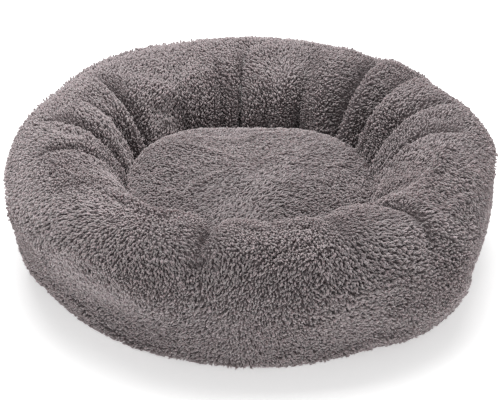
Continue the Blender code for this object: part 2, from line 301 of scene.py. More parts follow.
def read_grid(grid, u, v):
    """Smooth values between a grid's points, by Catmull-Rom curves both ways.

    The grid goes round in u, which counts from 0 to 1, and ends in v, from 0 to 1.
    """
    rows, columns = grid.shape[:2]
    a = (np.asarray(u) % 1) * rows
    b = np.clip(v, 0, 1) * (columns - 1)
    i, j = np.floor(a).astype(int), np.minimum(np.floor(b).astype(int), columns - 2)
    s, t = a - i, b - j

    def weights(x):
        return (
            -0.5 * x + x**2 - 0.5 * x**3,
            1 - 2.5 * x**2 + 1.5 * x**3,
            0.5 * x + 2 * x**2 - 1.5 * x**3,
            -0.5 * x**2 + 0.5 * x**3,
        )

    found = 0.0
    for m, ws in enumerate(weights(s)):
        row = (i + m - 1) % rows
        for n, wt in enumerate(weights(t)):
            column = np.clip(j + n - 1, 0, columns - 1)
            found = found + grid[row, column] * (ws * wt)[..., None]
    return found


def unit(vectors):
    return vectors / np.maximum(np.linalg.norm(vectors, axis=-1, keepdims=True), 1e-12)


def frame_on(grid, u, v):
    """The point, the outward normal and the two directions along the cloth at (u, v)."""
    step = 2e-3
    round_it = read_grid(grid, u + step, v) - read_grid(grid, u - step, v)
    after, before = np.minimum(v + step, 1), np.maximum(v - step, 0)
    onwards = read_grid(grid, u, after) - read_grid(grid, u, before)
    round_it = unit(round_it)
    normal = unit(np.cross(onwards, round_it))
    onwards = unit(np.cross(round_it, normal))
    return read_grid(grid, u, v), normal, round_it, onwards


def pushed_in(grid, depth):
    """A grid moved inwards along its normals."""
    rows, columns = grid.shape[:2]
    u = np.broadcast_to((np.arange(rows) / rows)[:, None], (rows, columns))
    v = np.broadcast_to(np.linspace(0, 1, columns)[None, :], (rows, columns))
    point, normal, _, _ = frame_on(grid, u, v)
    return point - normal * depth


def waves(u, v, rng, around, along, count):
    """A smooth field that closes round the bed: a sum of sines of random lengths and phases."""
    total = np.zeros(np.broadcast(u, v).shape)
    for _ in range(count):
        k = rng.integers(-around, around + 1)
        m = rng.uniform(-along, along)
        total += np.sin(TURN * (k * u + m * v + rng.uniform()))
    return total * np.sqrt(2 / count)


def bell(x, at, spread):
    """A bell curve of height 1."""
    return np.exp(-(((x - at) / spread) ** 2))


def apart(angle, at):
    """How far an angle in degrees lies from another, from -180 to 180."""
    return (angle - at + 180) % 360 - 180


# ---- cloth

SETTLE_FRAMES = 20

# The share by which a cloth is cut wider than the shape it starts in, and how far a point moves
# at most while it settles.
CUT_WIDER = 0.01
MOST_MOVE = 4 * MM


def settle(grid, held, pressure):
    """Lets stuffing press a cloth out until it rests, and returns where its points come to lie.

    The cloth is a grid that closes both ways. held is how firmly each point is sewn down, from 0
    to 1.
    """
    points = grid.reshape(-1, 3)
    faces = grid_faces(*grid.shape[:2], True, True)
    mesh = new_mesh("settling", points, faces.ravel(), np.full(len(faces), 4))
    cloth = add_object("settling", mesh)
    scene = bpy.context.scene
    sewn = cloth.vertex_groups.new(name="sewn")
    level = np.round(held.ravel() * 10).astype(int)
    for step in range(1, 11):
        sewn.add(np.flatnonzero(level == step).tolist(), step / 10, "REPLACE")
    air = cloth.modifiers.new("air", "CLOTH")
    air.settings.quality = 5
    air.settings.mass = 0.3
    air.settings.tension_stiffness = 12
    air.settings.compression_stiffness = 12
    air.settings.bending_stiffness = 0.4
    air.settings.shrink_min = -CUT_WIDER
    air.settings.vertex_group_mass = "sewn"
    air.settings.use_pressure = True
    air.settings.uniform_pressure_force = pressure
    air.settings.effector_weights.gravity = 0
    air.collision_settings.use_collision = False
    air.point_cache.frame_start = 1
    air.point_cache.frame_end = SETTLE_FRAMES
    for moment in range(1, SETTLE_FRAMES + 1):
        scene.frame_set(moment)
    shape = cloth.evaluated_get(bpy.context.evaluated_depsgraph_get()).data
    rested = np.empty(len(points) * 3, np.float32)
    shape.vertices.foreach_get("co", rested)
    scene.frame_set(1)
    bpy.data.objects.remove(cloth)
    move = rested.reshape(-1, 3) - points
    far = np.linalg.norm(move, axis=1, keepdims=True)
    return (points + move * np.minimum(1, MOST_MOVE / np.maximum(far, 1e-9))).reshape(grid.shape)


# ---- ring


def even_outline(radius, height, count):
    """An outline of (radius, height) points, spaced evenly along its length."""
    run = np.concatenate([[0], np.cumsum(np.hypot(np.diff(radius), np.diff(height)))])
    at = np.linspace(0, run[-1], count)
    return np.interp(at, run, radius), np.interp(at, run, height)


def ring_outline(ring, count):
    """The section of the ring's cloth: straight up the well's wall, then three quarter ellipses.

    The first goes from the waist in to the crest, the second from the crest out to the belly, and
    the third from the belly down to the seam at the outer foot.
    """
    top = HEIGHT - PILE_DEPTH
    well = R_CUSHION + ring.well_gap + PILE_DEPTH
    crest = R_OUT - ring.crest
    foot = R_FOOT_SEAM + 0.4 * MM
    angle = np.linspace(0, np.pi / 2, 60)
    radius = [
        np.full(20, well),
        crest - (crest - well) * np.cos(angle),
        crest + (ring.crest - PILE_DEPTH) * np.sin(angle),
        foot + (R_OUT - PILE_DEPTH - foot) * np.cos(angle),
    ]
    height = [
        np.linspace(SOLE, ring.waist, 20),
        ring.waist + (top - ring.waist) * np.sin(angle),
        ring.belly + (top - ring.belly) * np.cos(angle),
        ring.belly - (ring.belly - 1.2 * MM) * np.sin(angle),
    ]
    return even_outline(np.concatenate(radius), np.concatenate(height), count)


# Where the stuffing stands fuller or slacker: angle round the bed, its spread, place along the
# section, its spread, and how many millimetres it stands out.
BULGES = (
    (138, 22, 0.48, 0.16, -4.0),
    (95, 24, 0.48, 0.15, -2.0),
    (186, 16, 0.55, 0.13, -7.0),
    (357, 12, 0.55, 0.12, -6.0),
    (152, 24, 0.26, 0.12, -6.0),
    (28, 24, 0.26, 0.12, -6.0),
    (326, 18, 0.34, 0.13, -7.0),
    (53, 10, 0.47, 0.13, -4.5),
    (16, 12, 0.48, 0.14, 2.0),
    (236, 12, 0.84, 0.10, -10.0),
    (282, 20, 0.87, 0.09, -10.0),
    (306, 20, 0.84, 0.13, 6.0),
    (316, 16, 0.72, 0.14, 4.0),
    (334, 14, 0.74, 0.16, -1.0),
    (230, 26, 0.86, 0.16, -9.0),
    (205, 26, 0.80, 0.16, -3.0),
    (268, 30, 0.50, 0.14, 2.5),
    (247, 10, 0.44, 0.10, 2.5),
    (80, 9, 0.30, 0.14, 3.5),
    (56, 9, 0.32, 0.14, 4.5),
    (24, 7, 0.34, 0.12, 4.0),
    (3, 6, 0.34, 0.12, 3.0),
    (120, 14, 0.32, 0.14, 3.5),
    (165, 9, 0.32, 0.14, 3.5),
    (204, 14, 0.36, 0.14, 3.0),
)

# The gathers that run up the well's wall from its seam: angle at the seam, angle at the crest,
# depth in millimetres, spread in degrees, how far along the section each one reaches, and how
# many times wider it is towards smaller angles than towards larger ones.
GATHERS = (
    (97, 91, 17, 1.2, 0.52, 1.0),
    (103, 102, 11, 1.2, 0.46, 1.0),
    (122, 121, 6, 2.0, 0.38, 1.0),
    (81, 82, 4, 2.0, 0.36, 1.0),
    (68, 67, 9, 3.0, 0.56, 1.2),
    (39, 49, 36, 1.8, 0.58, 0.28),
    (28, 34, 32, 1.7, 0.55, 0.28),
    (10, 15, 32, 1.7, 0.56, 0.28),
    (352, 1, 29, 1.7, 0.55, 0.32),
    (150, 143, 28, 1.5, 0.52, 2.6),
    (155, 158, 22, 1.3, 0.46, 2.2),
    (176, 172, 29, 1.5, 0.52, 2.6),
    (183, 190, 21, 1.4, 0.54, 1.4),
    (224, 212, 9, 2.6, 0.58, 1.0),
    (238, 236, 7, 1.8, 0.42, 1.0),
    (258, 258, 26, 1.8, 0.62, 1.0),
    (276, 277, 7, 2.0, 0.44, 1.0),
    (296, 294, 11, 2.0, 0.62, 1.0),
    (311, 314, 18, 1.6, 0.66, 2.0),
    (330, 334, 8, 2.0, 0.48, 1.0),
)


# A gather's steep flank shifts sideways by a share of its depth, and a low brow stands on both
# sides of it. Their places and spreads count in the gather's own widths.
FLANK_SHIFT = 0.04
FLANK_AT = 1.6
FLANK_SPREAD = 1.3
BROW_RISE = 0.24
BROW_AT = 3.6
BROW_SPREAD = 2.2

# The small pleats above the well's seam end at this place along the section.
PLEATS_END = 0.42

# How far along the section a seam holds the cloth.
SEAM_HOLD = 0.05

# The angle of the back, in degrees. The zip lies there: so many degrees to both sides of it, and
# from this place along the section to the foot, the cloth keeps the frame's shape.
BACK = 90
ZIP_REACH = 54
ZIP_TOP = 0.76


def ring_grid(ring, rows, columns):
    """The ring's cloth as a grid that goes round, and each point's depth in a gather in mm.

    The section is carried round the bed, and each point moves along its normal by soft bulges
    (bell curves both ways) less the gathers. Each gather is a sharp valley, exp(-|x| ** 1.25)
    across, narrower on one side, with a low brow on both sides, and it fades out as a cosine
    towards the end of its reach. Its steep flank also shifts sideways round the bed. Small
    pleats, a product of two fields of waves, stand above the well's seam. The cloth stays where
    it is at both seams and behind the zip.
    """
    u = (np.arange(rows) / rows)[:, None]
    v = np.linspace(0, 1, columns)[None, :]
    radius, height = ring_outline(ring, columns)
    out = unit(np.stack([-np.gradient(height), np.gradient(radius)], -1))
    angle = u * 360
    move, slide, valley = np.zeros((3, rows, columns))
    for at, spread, spot, reach, tall in BULGES:
        off = apart(angle, at)
        move += tall * MM * np.exp(-((off / spread) ** 2) - ((v - spot) / reach) ** 2)
    for at, end, deep, spread, reach, lopsided in GATHERS:
        share = np.clip(v / reach, 0, 1)
        off = apart(angle, at + apart(end, at) * np.clip(v / 0.5, 0, 1))
        wide = spread * (0.7 + 0.6 * share) * np.where(off < 0, lopsided, 1 / lopsided) ** 0.5
        steep = off * (1 - lopsided) < 0
        way = np.sign(1 - lopsided)
        off = np.abs(off) / wide
        fade = np.cos(share * np.pi / 2) ** 0.8
        flank = np.where(steep, bell(off, FLANK_AT, FLANK_SPREAD), 0)
        slide += way * FLANK_SHIFT * deep * MM * fade * flank
        valley = np.maximum(valley, deep * MM * fade * np.exp(-(off**1.25)))
        move += BROW_RISE * deep * MM * fade**1.6 * bell(off, BROW_AT, BROW_SPREAD)
    rng = np.random.default_rng(3)
    move += ring.lumps * waves(u, v, rng, 9, 2.0, 10) - valley
    low = np.clip(1 - v / PLEATS_END, 0, 1) ** 0.8
    pleats = low * np.clip(waves(u, v, rng, 5, 1.0, 5) + 0.7, 0, 1.6)
    move += ring.pleats * pleats * waves(u, v, rng, 62, 0.6, 16)
    ends = np.clip((1 - v) / SEAM_HOLD, 0, 1) * np.clip(0.45 + v / SEAM_HOLD, 0, 1)
    zip_zone = np.clip(1.25 - np.abs(apart(angle, BACK)) / (ZIP_REACH - 2), 0, 0.2) / 0.2
    zip_zone = zip_zone * np.clip((v - (ZIP_TOP - 0.02)) / 0.06, 0, 1)
    move *= ends * (1 - zip_zone)
    r = radius + move * out[:, 0]
    turn = TURN * u + slide * ends / r
    return round_points(r, turn, height + move * out[:, 1]), valley / MM


def with_sole(grid):
    """The grid with two more rings of points that close it over the base's lining."""
    turn = TURN * np.arange(grid.shape[0]) / grid.shape[0]
    sole = [round_points(radius, turn, SOLE) for radius in (R_FOOT - 1 * MM, R_CUSHION + 9 * MM)]
    return np.concatenate([grid, np.stack(sole, 1)], 1)


def settled_move(ring):
    """How far each point of a coarser cloth moves when the stuffing presses it out.

    The cloth is sewn down at both seams, along the bottoms of the gathers and round the zip.
    """
    rows, columns = 300, 72
    grid, valley = ring_grid(ring, rows, columns)
    closed = with_sole(grid)
    held = np.ones(closed.shape[:2])
    v = np.linspace(0, 1, columns)[None, :]
    ends = np.maximum(1 - v / SEAM_HOLD, (v - 0.94) / 0.03)
    line = np.clip((valley - 3.5) / 2.5, 0, 0.9)
    held[:, :columns] = np.clip(np.maximum(ends, line), 0, 1)
    angle = (np.arange(rows) * 360 / rows)[:, None]
    behind_zip = (np.abs(apart(angle, BACK)) < ZIP_REACH) & (v > ZIP_TOP)
    held[:, :columns][behind_zip] = 1
    return settle(closed, held, ring.pressure)[:, :columns] - grid


def finer(grid, rows, columns):
    """The same cloth with another number of points."""
    u = (np.arange(rows) / rows)[:, None] + np.zeros((1, columns))
    v = np.linspace(0, 1, columns)[None, :] + np.zeros((rows, 1))
    return read_grid(grid, u, v)


# Points of the cover's cloth round the bed and along the section, and where the cloth is kept.
RING_POINTS = (720, 130)
SETTLED = {}


def ring_cloth(ring):
    """The settled cloth and its gathers, worked out once for the cover and what lies inside it."""
    if not SETTLED:
        grid, valley = ring_grid(ring, *RING_POINTS)
        grid = grid + finer(settled_move(ring), *RING_POINTS)
        SETTLED.update(cloth=grid, gathers=valley[..., None])
    return SETTLED["cloth"], SETTLED["gathers"]


# ---- fleece

# A curl has this many sides. At these places along its middle line, from 0 to the tip at 1, it
# has these shares of its full width.
LOCK_SIDES = 3
LOCK_STEPS = np.array([0.0, 0.66])
LOCK_WIDTH = np.array([0.6, 1.0])

# Curls stay this far above the floor.
FLOOR_GAP = 0.3 * MM


def root_places(grid, spacing, rng, low, high):
    """Places for the curls, in rows along the section, each row with as many as fit round it."""
    v = np.linspace(low, high, 400)
    u = np.linspace(0, 1, 180, endpoint=False)
    ring = read_grid(grid, u[:, None] + 0 * v, v + 0 * u[:, None])
    steps = np.linalg.norm(np.diff(ring, axis=1), axis=-1).mean(0)
    run = np.concatenate([[0], np.cumsum(steps)])
    round_it = np.linalg.norm(ring - np.roll(ring, 1, 0), axis=-1).sum(0)
    rows = int(run[-1] / (spacing * 0.87))
    at = (np.arange(rows) + 0.5) / rows * run[-1]
    count = np.maximum(np.round(np.interp(at, run, round_it) / spacing), 3).astype(int)
    row = np.repeat(np.arange(rows), count)
    k = np.arange(count.sum()) - np.repeat(np.cumsum(count) - count, count)
    u = (k + 0.5 * (row % 2) + rng.uniform(-0.36, 0.36, len(k))) / count[row]
    jitter = rng.uniform(-0.36, 0.36, len(k)) * (high - low) / rows
    return u % 1, np.clip(np.interp(at, run, v)[row] + jitter, low, high)


def lock_uv():
    """Where the corners of one curl lie in its own square of the map: round it, and along it."""
    sides = np.arange(LOCK_SIDES)
    wrap = np.stack([sides, sides + 1, sides + 1, sides], -1) / LOCK_SIDES
    cells = []
    for low, high in zip(LOCK_STEPS[:-1], LOCK_STEPS[1:], strict=True):
        cells.append(np.stack([wrap, np.tile([low, low, high, high], (LOCK_SIDES, 1))], -1))
    tips = np.stack([sides, sides + 1, sides + 0.5], -1) / LOCK_SIDES
    tips = np.stack([tips, np.tile([LOCK_STEPS[-1], LOCK_STEPS[-1], 1.0], (LOCK_SIDES, 1))], -1)
    foot = np.stack([sides[::-1] / LOCK_SIDES, np.full(LOCK_SIDES, -0.03)], -1)
    whole = [cell.reshape(-1, 2) for cell in cells] + [tips.reshape(-1, 2), foot]
    return np.concatenate(whole) * [0.86, 0.82] + [0.07, 0.08]


def lock_faces():
    """The corners and corner counts of one curl's faces: sides, tip and foot."""
    steps = len(LOCK_STEPS)
    k = np.arange(steps - 1)[:, None] * LOCK_SIDES
    m = np.arange(LOCK_SIDES)
    m2 = (m + 1) % LOCK_SIDES
    quads = np.stack([k + m, k + m2, k + LOCK_SIDES + m2, k + LOCK_SIDES + m], -1)
    last = (steps - 1) * LOCK_SIDES
    tips = np.stack([last + m, last + m2, np.full(LOCK_SIDES, steps * LOCK_SIDES)], -1)
    corners = np.concatenate([quads.ravel(), tips.ravel(), m[::-1]])
    counts = [4] * ((steps - 1) * LOCK_SIDES) + [3] * LOCK_SIDES + [LOCK_SIDES]
    return corners, np.array(counts)


def lock_mesh(name, fleece, spots, rng):
    """Curls of fleece as one mesh.

    A curl's middle line rises above the cloth as sin(1.85 t) and runs along its way as
    0.2 t + 0.8 t squared, and it swings sideways as a sine. Round that line stand flat
    ellipses, widest near the end, which close to a point at the tip.
    """
    n = len(spots["root"])
    root, normal, way = spots["root"][:, None], spots["normal"][:, None], spots["way"][:, None]
    side = np.cross(normal, way)
    size = spots["size"] * rng.uniform(0.8, 1.2, n)
    long = (fleece.length * size * spots["lie"])[:, None]
    tall = (fleece.height * size * spots["lift"])[:, None]
    swing = (fleece.length * rng.normal(0, 0.2, n))[:, None]

    def middle(t):
        up = tall * np.sin(1.85 * t) - 0.2 * fleece.height * (1 - t)
        on = long * (0.2 * t + 0.8 * t**2)
        over = swing * np.sin(np.pi * t)
        return root + normal * up[..., None] + way * on[..., None] + side * over[..., None]

    t = LOCK_STEPS[None, :] + np.zeros((n, 1))
    ahead = unit(middle(t + 0.05) - middle(t - 0.05))
    across = unit(np.cross(ahead, np.broadcast_to(normal, ahead.shape)))
    over = np.cross(across, ahead)
    turn = (np.arange(LOCK_SIDES) + 0.5) * TURN / LOCK_SIDES
    half = 0.55 * fleece.width * (size * rng.uniform(0.85, 1.2, n))[:, None] * LOCK_WIDTH
    flat = rng.uniform(0.6, 0.85, n)[:, None]
    body = (
        middle(t)[:, :, None]
        + across[:, :, None] * (half[..., None] * np.cos(turn))[..., None]
        + over[:, :, None] * ((half * flat)[..., None] * np.sin(turn))[..., None]
    )
    points = np.concatenate([body.reshape(n, -1, 3), middle(np.full((n, 1), 1.03))], 1)
    points[..., 2] = np.maximum(points[..., 2], FLOOR_GAP)
    each = points.shape[1]
    pattern, counts = lock_faces()
    corners = pattern[None, :] + (np.arange(n) * each)[:, None]
    cells = int(np.ceil(np.sqrt(n)))
    spot = np.stack([np.arange(n) % cells, np.arange(n) // cells], -1)
    uv = (spot[:, None] + lock_uv()[None]) / cells
    high = np.append(np.repeat(LOCK_STEPS, LOCK_SIDES), 1.0)
    values = {
        "pile": np.tile(high, n),
        "tone_and_shade": np.repeat(spots["tone_and_shade"], each),
        "warmth": np.repeat(spots["warmth"], each),
    }
    return new_mesh(
        name, points.reshape(-1, 3), corners.ravel(), np.tile(counts, n), uv.reshape(-1, 2), values
    )


def lock_spots(grid, u, v, lean, lift, size, rng):
    """Everything that a curl takes from the place where it is rooted."""
    root, normal, round_it, onwards = frame_on(grid, u, v)
    way = unit(onwards * np.cos(lean)[:, None] + round_it * np.sin(lean)[:, None])
    n = len(u)
    return {
        "root": root,
        "normal": normal,
        "way": way,
        "lift": lift,
        "lie": np.clip(3.3 - 2.3 * lift, 0.4, 2.0),
        "size": size * rng.uniform(0.82, 1.18, n),
        # Random tone here; painted shade is multiplied into it later.
        "tone_and_shade": np.clip(rng.normal(1.0, 0.09, n), 0.75, 1.25),
        "warmth": np.clip(rng.normal(0.5, 0.35, n), 0, 1),
    }


def only(spots, chosen):
    return {label: numbers[chosen] for label, numbers in spots.items()}


def clear_of(points, node, gap):
    """Which points lie outside a node's box, made larger by a gap."""
    low, high = node_box(node)
    return ((points < low - gap) | (points > high + gap)).any(1)


def zip_frame():
    """The zip band's middle (radius, height), its lean, its half width and its first angle."""
    swing = next(j for j in frame["joints"] if j["name"] == "zip_pull_swing")
    axis, pivot = np.array(swing["axis"]), np.array(swing["pos_m"])
    lean = np.arctan2(np.hypot(axis[0], axis[1]), -axis[2])
    upper, lower = node_box("zip_tape_upper"), node_box("zip_tape_lower")
    coils = node_box("zip_coil_upper"), node_box("zip_coil_lower")
    height = float(coils[0][0][2] + coils[0][1][2] + coils[1][0][2] + coils[1][1][2]) / 4
    outwards = (height - pivot[2]) / np.sin(lean)
    radius = np.hypot(pivot[0], pivot[1]) - outwards * np.cos(lean)
    half = float(upper[1][2] - lower[0][2]) / 2 / np.cos(lean)
    start = np.degrees(np.arccos(upper[1][0] / upper[1][1]))
    return radius, height, lean, half, start


def clear_of_zip(points):
    """Which points lie beside the zip's window in the cover."""
    _, height, lean, half, start = zip_frame()
    angle = np.degrees(np.arctan2(points[:, 1], points[:, 0]))
    within = np.abs(apart(angle, BACK)) < BACK - start + 0.5
    return ~(within & (np.abs(points[:, 2] - height) < half * np.cos(lean) - 0.8 * MM))


# ---- materials


class Nodes:
    """A shorthand for building one material's node tree."""

    def __init__(self, name, roughness):
        self.material = bpy.data.materials.new(name)
        self.material.use_nodes = True
        self.tree = self.material.node_tree
        self.shader = self.tree.nodes["Principled BSDF"]
        self.shine({"Roughness": roughness})

    def add(self, kind, **settings):
        node = self.tree.nodes.new(kind)
        for key, value in settings.items():
            setattr(node, key, value)
        return node

    def feed(self, socket, value):
        """Links a socket to another node's output, or sets its own number or colour."""
        if isinstance(value, bpy.types.NodeSocket):
            self.tree.links.new(value, socket)
        elif isinstance(value, tuple):
            socket.default_value = (*value, 1)
        else:
            socket.default_value = value

    def shine(self, settings):
        """Sets some of the shader's own numbers and colours."""
        for label, value in settings.items():
            self.shader.inputs[label].default_value = value

    def attribute(self, name):
        return self.add("ShaderNodeAttribute", attribute_name=name).outputs["Fac"]

    def number(self, operation, a, b=0.0, c=0.0):
        node = self.add("ShaderNodeMath", operation=operation)
        for socket, value in zip(node.inputs, (a, b, c), strict=True):
            self.feed(socket, value)
        return node.outputs[0]

    def mix(self, factor, a, b, kind="MIX"):
        node = self.add("ShaderNodeMix", data_type="RGBA", blend_type=kind, clamp_factor=True)
        for number, value in ((0, factor), (6, a), (7, b)):
            self.feed(node.inputs[number], value)
        return node.outputs[2]

    def spread(self, value, low, high, to_low=0.0, to_high=1.0):
        node = self.add("ShaderNodeMapRange")
        for socket, number in zip(node.inputs, (value, low, high, to_low, to_high), strict=False):
            self.feed(socket, number)
        return node.outputs["Result"]

    def place(self):
        return self.add("ShaderNodeTexCoord").outputs["Object"]

    def noise(self, scale, detail=2.0):
        node = self.add("ShaderNodeTexNoise")
        node.inputs["Scale"].default_value = scale
        node.inputs["Detail"].default_value = detail
        self.feed(node.inputs["Vector"], self.place())
        return node.outputs["Fac"]

    def bands(self, axis, pitch):
        """Bands across an axis; at scale 1 the texture has one every 0.314 m."""
        node = self.add("ShaderNodeTexWave", wave_type="BANDS", bands_direction=axis)
        node.inputs["Scale"].default_value = 0.314 / pitch
        self.feed(node.inputs["Vector"], self.place())
        return node.outputs["Fac"]

    def weave(self, colour, pitch):
        """The crossed threads of plain cloth, and the cloth's colour on and between them."""
        threads = self.number("MAXIMUM", self.bands("X", pitch), self.bands("Y", pitch))
        return threads, self.mix(threads, shade(colour, 0.62), shade(colour, 1.25))

    def colour(self, value):
        self.feed(self.shader.inputs["Base Color"], value)

    def bump(self, height, distance):
        node = self.add("ShaderNodeBump")
        node.inputs["Distance"].default_value = distance
        self.feed(node.inputs["Height"], height)
        self.feed(self.shader.inputs["Normal"], node.outputs["Normal"])


def shade(colour, share):
    """A colour made darker or lighter by a share."""
    return tuple(min(part * share, 1.0) for part in colour)


def fleece_material(name, fleece, bright):
    """Curled fleece: light at the tip and painted dark at the root, as shade down between the curls,
    pinker and greyer from curl to curl.
    """
    made = Nodes(name, 0.95)
    warm = shade(fleece.warm_colour, bright)
    cool = shade(fleece.cool_colour, bright)
    tip = made.mix(made.attribute("warmth"), cool, warm)
    # Painted shade: from the dark root colour up to the tip colour along each curl.
    colour = made.mix(made.attribute("pile"), shade(fleece.root_shade_colour, bright), tip)
    patch = made.spread(made.noise(10.0, 3.0), 0.25, 0.75, 0.93, 1.07)
    # The tone attribute holds each curl's random tone times painted shade.
    level = made.number("MULTIPLY", made.attribute("tone_and_shade"), patch)
    grey = made.add("ShaderNodeCombineColor")
    for socket in grey.inputs:
        made.feed(socket, level)
    made.colour(made.mix(1.0, colour, grey.outputs[0], "MULTIPLY"))
    softness = {
        "Specular IOR Level": 0.12,
        "Subsurface Weight": 0.6,
        "Subsurface Radius": (1.0, 0.85, 0.85),
        "Subsurface Scale": 2 * MM,
        "Sheen Weight": 0.6,
        "Sheen Roughness": 0.45,
        "Sheen Tint": (1.0, 0.9, 0.93, 1),
    }
    made.shine(softness)
    return made.material


def woven_material(name, colour, pitch, depth, roughness=0.85):
    """Plain woven cloth: two sets of crossed threads, a little uneven in colour."""
    made = Nodes(name, roughness)
    threads, cloth = made.weave(colour, pitch)
    worn = made.spread(made.noise(45.0, 4.0), 0.35, 0.7, 0.0, 0.35)
    made.colour(made.mix(worn, cloth, shade(colour, 0.7)))
    made.bump(threads, depth)
    return made.material


def grip_material(name, colour):
    """The woven base cloth, with rows of small rubber grip dots printed on it."""
    made = Nodes(name, 0.8)
    threads, cloth = made.weave(colour, 1.1 * MM)
    rows = made.number("MULTIPLY", made.bands("X", 9 * MM), made.bands("Y", 9 * MM))
    dots = made.spread(rows, 0.80, 0.84)
    made.colour(made.mix(dots, cloth, (0.012, 0.012, 0.013)))
    made.bump(made.number("MAXIMUM", threads, made.number("MULTIPLY", dots, 3.0)), 0.1 * MM)
    return made.material


def ribbed_material(name, colour, pitch, roughness=0.8):
    """Narrow woven tape, with ribs across it that follow its slope."""
    made = Nodes(name, roughness)
    ribs = made.bands("Z", pitch)
    uneven = made.noise(900.0, 2.0)
    both = made.number("ADD", made.number("MULTIPLY", ribs, 0.75), made.number("MULTIPLY", uneven, 0.25))
    made.colour(made.mix(both, shade(colour, 0.55), shade(colour, 1.35)))
    made.bump(both, 0.12 * MM)
    return made.material


def fibre_material(name, colour=FIBRE_COLOUR):
    """Loose white fibre, or the cloth that is pressed from it."""
    made = Nodes(name, 1.0)
    strands = made.noise(500.0, 5.0)
    made.colour(made.mix(strands, shade(colour, 0.75), shade(colour, 1.1)))
    made.bump(strands, 0.8 * MM)
    return made.material


def metal_material(name, colour, roughness, metallic):
    """A hard satin finish with faint scratches, brighter where it is rubbed."""
    made = Nodes(name, roughness)
    wear = made.noise(650.0, 5.0)
    made.colour(made.mix(wear, shade(colour, 0.7), shade(colour, 1.35)))
    made.shine({"Metallic": metallic})
    made.bump(wear, 0.03 * MM)
    return made.material


# ---- pieces


class PETBED_OT_ring(bpy.types.Operator):
    """Make the ring's cover: its cloth and the curled pile that stands on it"""

    bl_idname = "petbed.make_ring"
    bl_label = "Ring cover"

    sectors = 8

    # The crest's place and spread along the section, and how much lower the pile lies on it.
    crest_at = 0.52
    crest_spread = 0.10
    crest_fall = 0.36

    # From this depth in mm a gather has its whole effect on the curls in it, which are smaller and
    # painted darker, as shade in the crease. Deeper than so many times that depth, the cloth is bare.
    gather_depth = 12
    gather_bare = 1.2
    gather_size = 0.55
    # Painted shade: how much darker the curls in a gather are.
    gather_shade = 0.8

    # How dark the curls are painted at the foot of the well, as shade there, and where along the section
    # that ends.
    well_shade = 0.68
    well_shade_top = 0.42

    # How near to the care label the curls stand.
    label_gap = 1.5 * MM

    def execute(self, context):
        ring, fleece = context.scene.petbed_ring, context.scene.petbed_fleece
        looks = fleece_material("ring_fleece", fleece, 1.0)
        cloth, gathers = ring_cloth(ring)
        skin = sheet_mesh("ring_skin", with_sole(cloth), SHADED_SKIN_LOOK)
        place("ring_skin", skin, looks, "bed", "ring_cover")
        self.make_pile(fleece, cloth, gathers, looks)
        return {"FINISHED"}

    def make_pile(self, fleece, cloth, gathers, looks):
        """Stands curls on the cloth, in one mesh for each sector of the ring.

        They lie down over the crest, most at the front, and stand out from the walls. In the gathers
        they are small and painted dark, as shade in the crease, and low in the well they are painted
        darker than on top, as shade.
        """
        rng = np.random.default_rng(fleece.seed)
        u, v = root_places(cloth, fleece.spacing, rng, 0.012, 0.995)
        lean = 0.75 * waves(u, v, rng, 7, 3.0, 16) + rng.normal(0, 0.42, len(u))
        crest = bell(v, self.crest_at, self.crest_spread) * (0.25 - 0.75 * np.sin(TURN * u))
        lift = 1.0 - self.crest_fall * crest + 0.10 * waves(u, v, rng, 9, 4.0, 12)
        deep = np.clip(read_grid(gathers, u, v)[:, 0] / self.gather_depth, 0, 1.5)
        inside = np.minimum(deep, 1)
        size = (1.0 + 0.06 * waves(u, v, rng, 12, 5.0, 12)) * (1 - self.gather_size * inside)
        spots = lock_spots(cloth, u, v, lean, lift, size, rng)
        # Painted shade in the gathers, then low in the well.
        spots["tone_and_shade"] *= 1 - self.gather_shade * inside
        rise = np.clip(v / self.well_shade_top, 0, 1)
        spots["tone_and_shade"] *= self.well_shade + (1 - self.well_shade) * rise
        spots = only(spots, clear_of_zip(spots["root"]) & (deep < self.gather_bare))
        spots = only(spots, clear_of(spots["root"], "care_label", self.label_gap))
        angle = np.arctan2(spots["root"][:, 1], spots["root"][:, 0]) / TURN % 1
        sector = (angle * self.sectors).astype(int)
        for number in range(self.sectors):
            name = f"ring_fleece_{number + 1}"
            mesh = lock_mesh(name, fleece, only(spots, sector == number), rng)
            place(name, mesh, looks, "bed")


class PETBED_OT_stuffing(bpy.types.Operator):
    """Make the ring's inner bag and the fibre that fills it"""

    bl_idname = "petbed.make_stuffing"
    bl_label = "Ring stuffing"

    def execute(self, context):
        cloth = finer(ring_cloth(context.scene.petbed_ring)[0], 240, 64)
        bag = fibre_material("nonwoven_cloth", (0.8, 0.8, 0.79))
        fibre = fibre_material("fibre")
        for name, node, depth, slot, looks in (
            ("ring_bag", "ring_liner", 1.6, "nonwoven", bag),
            ("ring_fibre", "ring_filling", 3.0, "wadding", fibre),
        ):
            inner = pushed_in(cloth, depth * MM)
            inner[..., 2] = np.maximum(inner[..., 2], SOLE + depth / 2 * MM)
            place(name, sheet_mesh(name, inner), looks, "bed", node)
        return {"FINISHED"}


